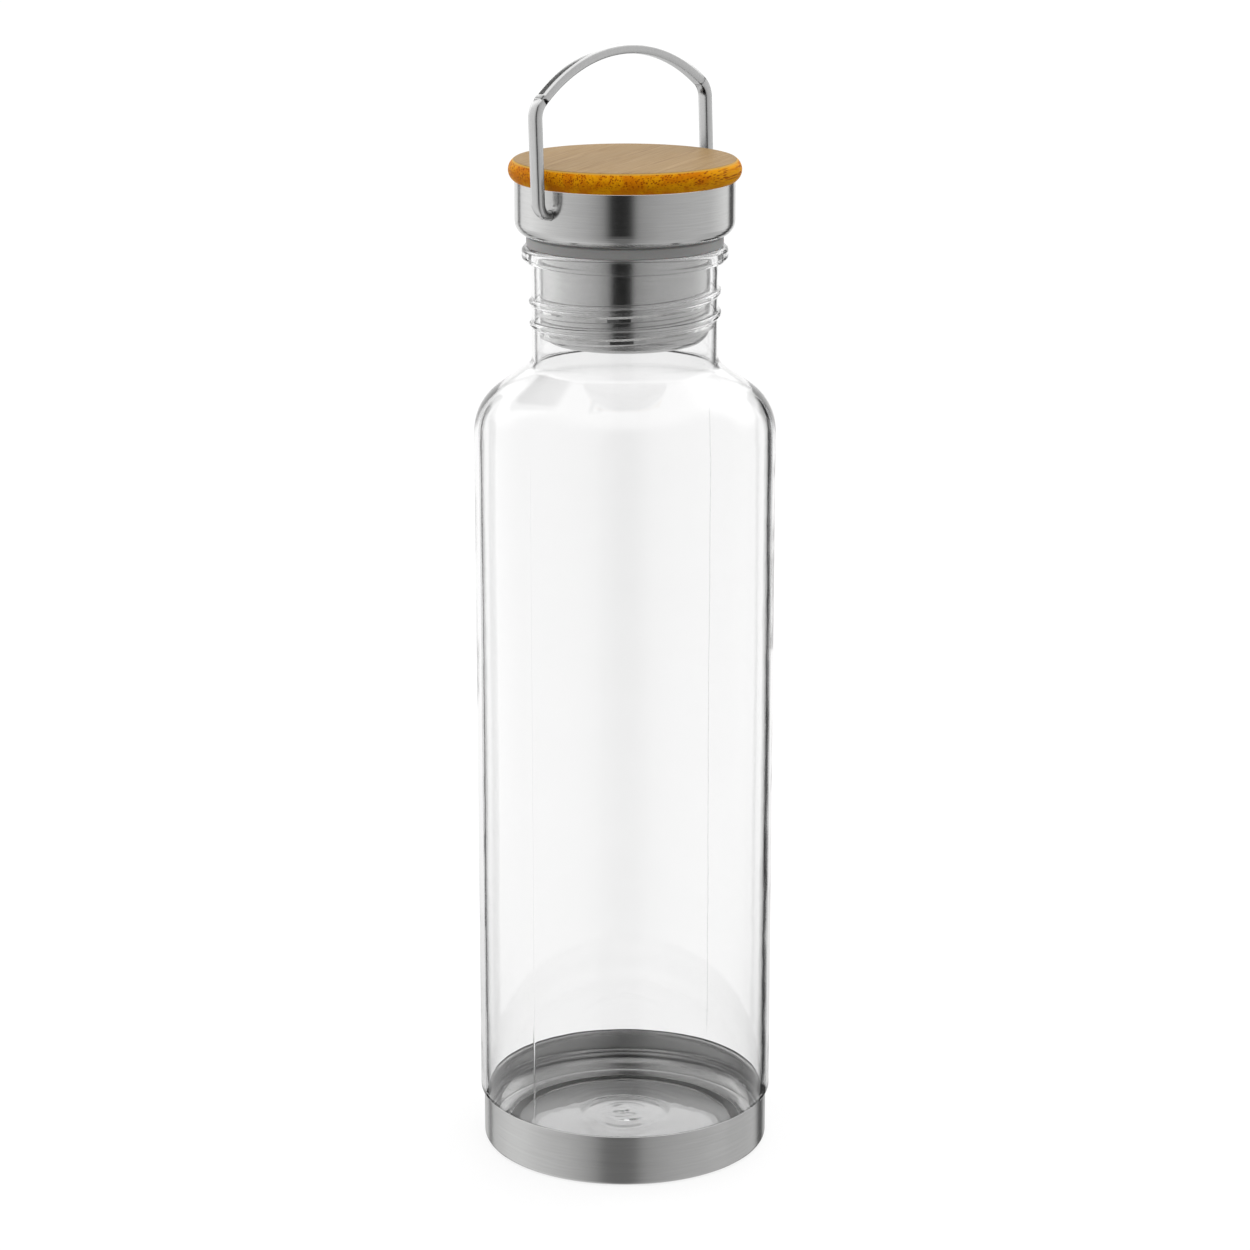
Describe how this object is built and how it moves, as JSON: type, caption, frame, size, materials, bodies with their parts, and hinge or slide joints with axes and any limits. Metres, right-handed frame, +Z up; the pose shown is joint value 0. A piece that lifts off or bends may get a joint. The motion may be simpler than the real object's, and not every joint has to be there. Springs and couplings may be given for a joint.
{
  "type": "water bottle",
  "caption": "Tall clear water bottle with a steel base cup, and a steel and bamboo screw lid that carries a swinging bail handle.",
  "frame": {"origin": "centre of the standing face, on the bottle's axis", "axes": "+Z up along the bottle's axis; X along the handle's pivot axis; Y across the handle"},
  "size_m": [0.073, 0.073, 0.2748],
  "materials": {
    "clear_body": "clear, polished, colourless moulded copolyester",
    "brushed_steel": "stainless sheet, fine satin brushing round the axis",
    "handle_steel": "stainless flat bar, satin polish along its length",
    "silicone": "mid grey matt silicone",
    "bamboo": "bamboo strips, matt oiled top and amber varnished edge",
    "core_plastic": "grey polypropylene, moulded",
    "adhesive": "cured clear adhesive"
  },
  "bodies": {
    "bottle": {"bottle_body": "clear_body", "base_cup": "brushed_steel", "base_adhesive": "adhesive"},
    "seal": {"seal_ring": "silicone"},
    "lid": {"lid_shell": "brushed_steel", "lid_core": "core_plastic", "plug_shell": "brushed_steel", "bamboo_adhesive": "adhesive", "bamboo_disc": "bamboo"},
    "handle": {"handle": "handle_steel"}
  },
  "joints": [
    {"name": "lid_rise", "type": "slide", "parent": "bottle", "child": "seal", "axis": [0, 0, 1], "range_m": [0, 0.032]},
    {"name": "lid_turn", "type": "hinge", "parent": "seal", "child": "lid", "pos_m": [0, 0, 0.2298], "axis": [0, 0, 1], "range_deg": [0, 2160]},
    {"name": "handle_swing", "type": "hinge", "parent": "lid", "child": "handle", "pos_m": [0, 0, 0.2372], "axis": [1, 0, 0], "range_deg": [-128, 132]}
  ],
  "couplings": [
    {"joint": "lid_rise", "follows": "lid_turn", "m_per_rad": 0.00084352}
  ]
}
